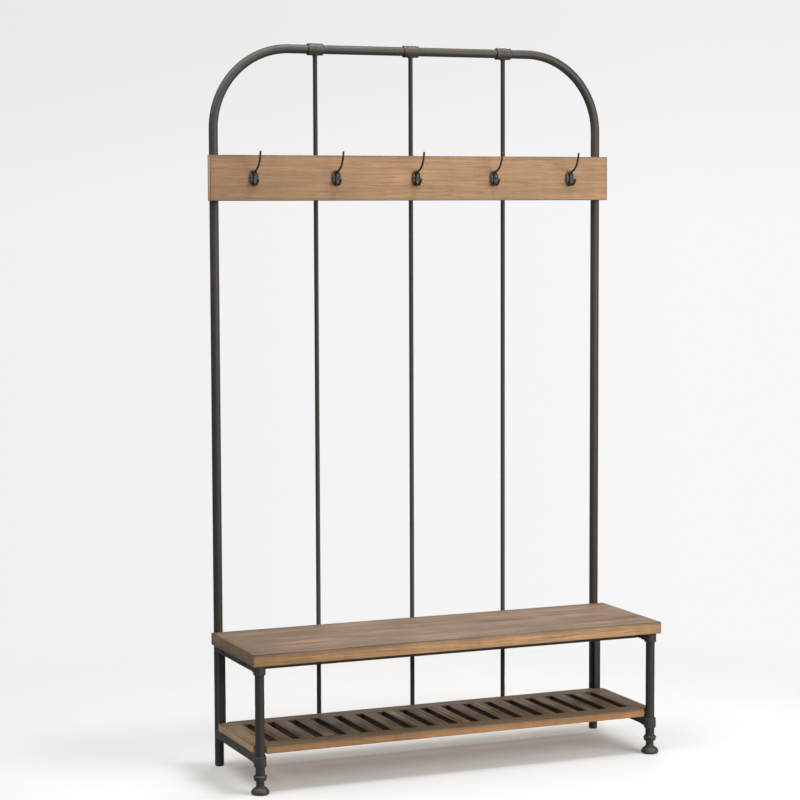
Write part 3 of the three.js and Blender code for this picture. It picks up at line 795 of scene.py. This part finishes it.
def add_camera():
    """The camera stands to the bench's left front at standing height, with a long lens."""
    yaw, pitch, roll = math.radians(22.73), math.radians(4.724), math.radians(-0.2)
    data = bpy.data.cameras.new("camera")
    data.lens = 104.2
    data.sensor_width = 36.0
    camera = bpy.data.objects.new("camera", data)
    bpy.context.scene.collection.objects.link(camera)
    position = Matrix.Translation((-2.612, -5.969, 1.570))
    level = Matrix.Rotation(-yaw, 4, "Z") @ Matrix.Rotation(math.pi / 2 - pitch, 4, "X")
    camera.matrix_world = position @ level @ Matrix.Rotation(roll, 4, "Z")
    bpy.context.scene.camera = camera


def add_area_light(name, position, target, size, power, colour=(1.0, 1.0, 1.0)):
    data = bpy.data.lights.new(name, "AREA")
    data.shape = "RECTANGLE"
    data.size, data.size_y = size
    data.energy = power
    data.color = colour
    light = bpy.data.objects.new(name, data)
    light.visible_camera = False
    bpy.context.scene.collection.objects.link(light)
    aim = Vector(target) - Vector(position)
    light.matrix_world = Matrix.Translation(position) @ aim.to_track_quat("-Z", "Y").to_matrix().to_4x4()


def add_world(lit):
    """A pale studio. The camera sees a sweep that is a little darker above and to the left."""
    world = bpy.data.worlds.new("studio")
    world.use_nodes = True
    tree = world.node_tree
    tree.nodes.clear()
    direction = node(tree, "TexCoord").outputs["Generated"]
    rightwards = {0: direction, 1: (0.922, -0.386, 0.0)}
    rightwards = node(tree, "VectorMath", rightwards, operation="DOT_PRODUCT")
    upwards = node(tree, "SeparateXYZ", {0: direction}).outputs[2]
    sweep = {0: rightwards.outputs["Value"], 1: -0.17, 2: 0.12, 3: 0.872, 4: 0.93}
    sweep = node(tree, "MapRange", sweep)
    top = {0: upwards, 1: -0.01, 2: 0.08, 3: 1.0, 4: 0.935}
    top = node(tree, "MapRange", top, interpolation_type="SMOOTHSTEP")
    seen = grey(tree, maths(tree, "MULTIPLY", sweep.outputs[0], top.outputs[0]))
    backdrop = node(tree, "Background", {"Color": seen, "Strength": 1.0})
    walls = node(tree, "Background", {"Color": (*lit, 1.0), "Strength": 1.0})
    choice = node(tree, "MixShader", {
        0: node(tree, "LightPath").outputs["Is Camera Ray"],
        1: walls.outputs[0],
        2: backdrop.outputs[0],
    })
    output = node(tree, "OutputWorld")
    tree.links.new(choice.outputs[0], output.inputs["Surface"])
    bpy.context.scene.world = world


def add_floor(tone, glow):
    """A pale floor that fades into the backdrop, and that lights the bench less than it is seen."""
    bounced = 0.72
    material, tree, shader = new_material("floor")
    seen = node(tree, "LightPath").outputs["Is Camera Ray"]
    colour = mix(tree, seen, tuple(bounced * c for c in tone), tone)
    tree.links.new(colour, shader.inputs["Base Color"])
    shader.inputs["Roughness"].default_value = 0.9
    shader.inputs["Specular IOR Level"].default_value = 0.1
    shader.inputs["Emission Color"].default_value = (*glow, 1.0)
    tree.links.new(seen, shader.inputs["Emission Strength"])
    place = node(tree, "TexCoord").outputs["Object"]
    distance = node(tree, "VectorMath", {0: place}, operation="LENGTH").outputs["Value"]
    fade = node(tree, "MapRange", {0: distance, 1: 0.85, 2: 2.2}, interpolation_type="SMOOTHSTEP")
    clear = node(tree, "BsdfTransparent")
    both = node(tree, "MixShader", {0: fade.outputs[0], 1: shader.outputs[0], 2: clear.outputs[0]})
    output = next(n for n in tree.nodes if n.type == "OUTPUT_MATERIAL")
    tree.links.new(both.outputs[0], output.inputs["Surface"])
    bm = bmesh.new()
    bmesh.ops.create_grid(bm, x_segments=1, y_segments=1, size=8.0)
    mesh = bpy.data.meshes.new("floor")
    bm.to_mesh(mesh)
    bm.free()
    mesh.materials.append(material)
    floor = bpy.data.objects.new("floor", mesh)
    bpy.context.scene.collection.objects.link(floor)


def add_studio():
    bpy.context.scene.view_settings.view_transform = "Standard"
    add_camera()
    add_world(lit=(0.23, 0.23, 0.23))
    add_floor(tone=(0.505, 0.525, 0.535), glow=(0.232, 0.194, 0.165))
    add_area_light("overhead", (0.45, -0.60, 5.0), (0.1, -0.1, 0.0), (1.1, 0.7), 128)
    add_area_light("overhead_soft", (-1.9, -0.3, 3.7), (0.0, 0.0, 0.4), (3.2, 2.6), 96)
    add_area_light("rim", (1.2, 2.1, 2.9), (0.0, 0.15, 1.95), (1.4, 0.6), 40)
    add_area_light("key", (1.9, -2.9, 2.1), (0.1, 0.0, 1.1), (2.4, 2.2), 118)


add_studio()
add_hoop()
add_rods()
add_hook_board()
add_hooks()
add_board_screws()
add_seat()
add_seat_screws()
add_shelf()
add_rails()
add_cross_rail_welds()
add_rail_bolts()
add_legs()
